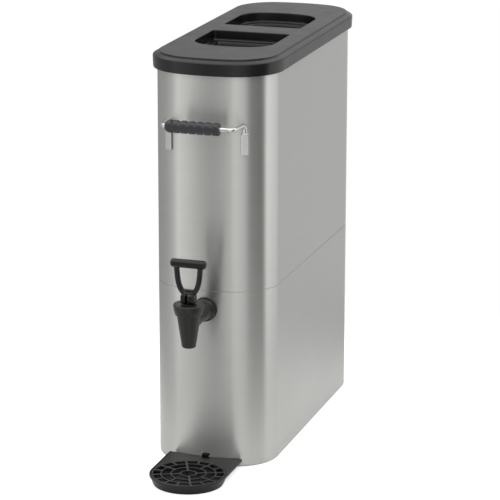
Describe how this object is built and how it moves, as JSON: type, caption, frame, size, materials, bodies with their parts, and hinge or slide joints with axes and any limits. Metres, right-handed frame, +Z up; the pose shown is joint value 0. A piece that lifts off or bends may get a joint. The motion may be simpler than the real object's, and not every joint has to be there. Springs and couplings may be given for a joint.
{
  "type": "slim drinks dispenser",
  "caption": "Tall narrow stainless drinks tank with a lift-off black lid, a self-closing lever faucet, grab handles and a clip-on round drip tray.",
  "frame": {"origin": "on the floor, under the middle of the whole object's box", "axes": "+Z up, -Y the way the faucet looks, +X to the viewer's right when the faucet faces the viewer"},
  "size_m": [0.1716, 0.5792, 0.535],
  "materials": {
    "brushed_steel": "fine vertical brushed grain, satin",
    "handle_steel": "bright drawn rod, light polish",
    "grip_rubber": "soft moulded, matte",
    "lid_plastic": "satin moulded, fine texture",
    "faucet_plastic": "semi-gloss moulded",
    "tray_plastic": "satin moulded",
    "seal_rubber": "matte",
    "silicone": "matte translucent look"
  },
  "bodies": {
    "tank": {"tank_wall": "brushed_steel", "tank_floor": "brushed_steel", "base_skirt": "brushed_steel", "front_handle_rod": "handle_steel", "front_handle_grip": "grip_rubber", "rear_handle_rod": "handle_steel", "rear_handle_grip": "grip_rubber", "faucet_body": "faucet_plastic", "faucet_bonnet": "faucet_plastic", "faucet_washer_outer": "seal_rubber", "faucet_washer_inner": "seal_rubber", "faucet_clamp_washer": "handle_steel", "faucet_nut": "faucet_plastic"},
    "lid": {"lid_cover": "lid_plastic"},
    "faucet_valve": {"faucet_stem": "faucet_plastic", "faucet_seat_cup": "silicone", "faucet_handle_pin": "handle_steel"},
    "faucet_lever": {"faucet_handle": "faucet_plastic"},
    "tray": {"drip_tray": "tray_plastic"},
    "grid": {"drip_grid": "tray_plastic"}
  },
  "joints": [
    {"name": "lid_lift", "type": "slide", "parent": "tank", "child": "lid", "axis": [0, 0, 1], "range_m": [0, 0.12]},
    {"name": "stem_lift", "type": "slide", "parent": "tank", "child": "faucet_valve", "axis": [0, 0, 1], "range_m": [0, 0.0034]},
    {"name": "handle_tilt", "type": "hinge", "parent": "faucet_valve", "child": "faucet_lever", "pos_m": [0, -0.2356, 0.2425], "axis": [1, 0, 0], "range_deg": [0, 50], "stiffness_Nm_per_rad": 0.25, "springref_deg": -20.05},
    {"name": "tray_pull", "type": "slide", "parent": "tank", "child": "tray", "axis": [0, -1, 0], "range_m": [0, 0.08]},
    {"name": "grid_lift", "type": "slide", "parent": "tray", "child": "grid", "axis": [0, 0, 1], "range_m": [0, 0.04]}
  ],
  "couplings": [
    {"joint": "stem_lift", "follows": "handle_tilt", "m_per_rad": 0.00389}
  ]
}
